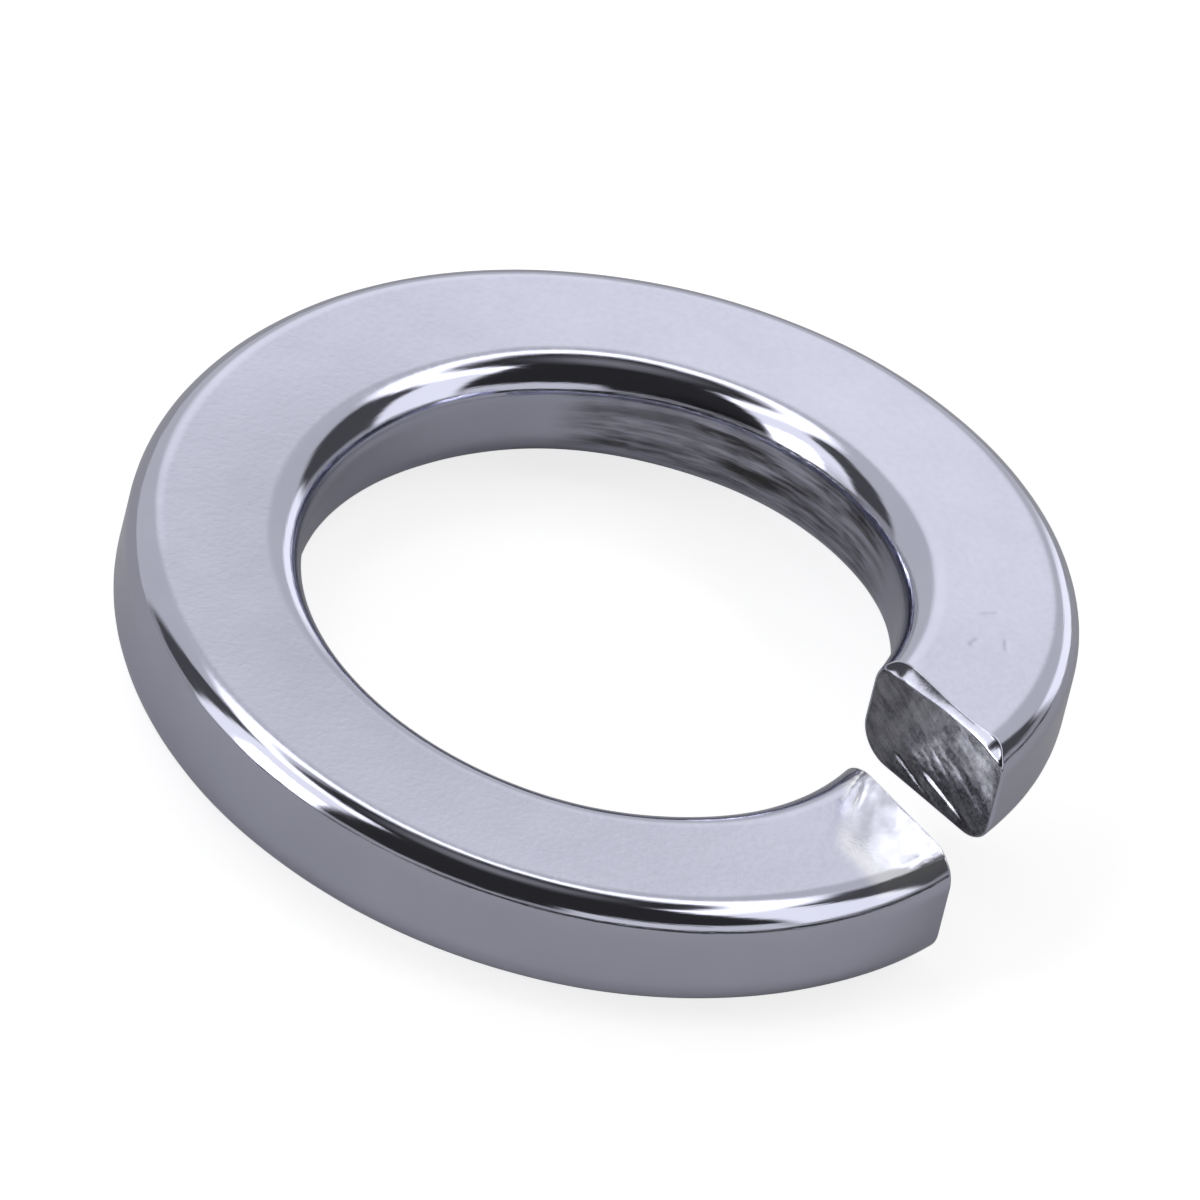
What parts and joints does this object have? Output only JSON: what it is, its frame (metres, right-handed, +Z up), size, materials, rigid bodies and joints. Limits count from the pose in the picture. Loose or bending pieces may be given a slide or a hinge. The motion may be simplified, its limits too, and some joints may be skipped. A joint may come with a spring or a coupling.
{
  "type": "spring lock washer",
  "caption": "Split spring lock washer coiled left-handed from rounded rectangular wire, with a slanted slit and a bright chrome finish.",
  "frame": {"origin": "middle of the washer's outline, on the surface it lies on", "axes": "+Z up from that surface, +X out through the slit; the bore's own axis leans about 5 degrees from +Z, because the coil lies at rest on its lower end and on the edge opposite"},
  "size_m": [0.0266, 0.0268, 0.0068],
  "materials": {
    "chrome_plate": "bright"
  },
  "bodies": {
    "root": {"spring_washer": "chrome_plate"}
  },
  "joints": []
}
